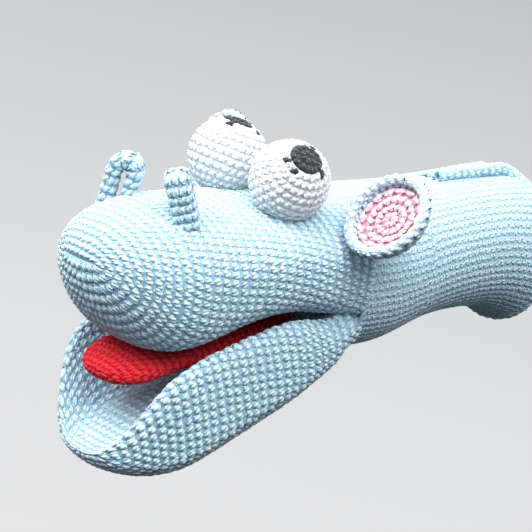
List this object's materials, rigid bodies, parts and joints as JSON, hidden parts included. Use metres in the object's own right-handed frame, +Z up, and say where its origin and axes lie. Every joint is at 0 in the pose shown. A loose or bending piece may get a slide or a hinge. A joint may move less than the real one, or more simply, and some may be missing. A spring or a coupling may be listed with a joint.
{
  "type": "crocheted hippo hand puppet",
  "caption": "Crocheted light-blue hippo hand puppet with stuffed eyes, cupped ears, nostril loops and a red tongue.",
  "frame": {"origin": "centre of the sleeve's rim, where the hand goes in", "axes": "+Y out of the sleeve along the forearm, snout towards -Y, +Z up through the eyes, +X to the puppet's left"},
  "size_m": [0.1502, 0.24, 0.1489],
  "materials": {
    "blue_yarn": "matte",
    "white_yarn": "matte",
    "black_yarn": "matte",
    "pink_yarn": "matte",
    "red_yarn": "matte",
    "filling": "matte"
  },
  "bodies": {
    "sleeve": {"sleeve_tube": "blue_yarn", "sleeve_edging": "blue_yarn", "wrist_fabric_rear": "blue_yarn"},
    "wrist": {"wrist_band": "blue_yarn", "wrist_fabric_front": "blue_yarn"},
    "head": {"cheek_tube": "blue_yarn", "upper_jaw_tube": "blue_yarn", "throat_fabric": "blue_yarn", "nostril_left": "blue_yarn", "nostril_right": "blue_yarn", "eye_left_white": "white_yarn", "eye_left_pupil": "black_yarn", "eye_left_filling": "filling", "eye_right_white": "white_yarn", "eye_right_pupil": "black_yarn", "eye_right_filling": "filling"},
    "lower_jaw": {"lower_jaw_tube": "blue_yarn"},
    "tongue": {"tongue_cover": "red_yarn", "tongue_filling": "filling"},
    "ear_left": {"ear_left_cup": "blue_yarn", "ear_left_lining": "pink_yarn", "ear_left_edging": "blue_yarn"},
    "ear_right": {"ear_right_cup": "blue_yarn", "ear_right_lining": "pink_yarn", "ear_right_edging": "blue_yarn"}
  },
  "joints": [
    {"name": "wrist_turn", "type": "hinge", "parent": "sleeve", "child": "wrist", "pos_m": [0, -0.0615, 0.003], "axis": [0, 0, 1], "range_deg": [-18, 18], "deforming": ["wrist_fabric_rear"]},
    {"name": "wrist_nod", "type": "hinge", "parent": "wrist", "child": "head", "pos_m": [0, -0.0845, -0.002], "axis": [1, 0, 0], "range_deg": [-18, 18], "deforming": ["wrist_fabric_front"]},
    {"name": "jaw_hinge", "type": "hinge", "parent": "head", "child": "lower_jaw", "pos_m": [0, -0.112, -0.022], "axis": [1, 0, 0], "range_deg": [-4.5, 20], "deforming": ["throat_fabric"]},
    {"name": "tongue_droop", "type": "hinge", "parent": "head", "child": "tongue", "pos_m": [0, -0.13, -0.024], "axis": [1, 0, 0], "range_deg": [0, 3.5]},
    {"name": "ear_left_flop", "type": "hinge", "parent": "head", "child": "ear_left", "pos_m": [0.036, -0.122, 0.024], "axis": [-0.5433, 0.4677, 0.6973], "range_deg": [-12, 12]},
    {"name": "ear_right_flop", "type": "hinge", "parent": "head", "child": "ear_right", "pos_m": [-0.036, -0.122, 0.024], "axis": [-0.2959, -0.2324, -0.9265], "range_deg": [-12, 12]}
  ]
}
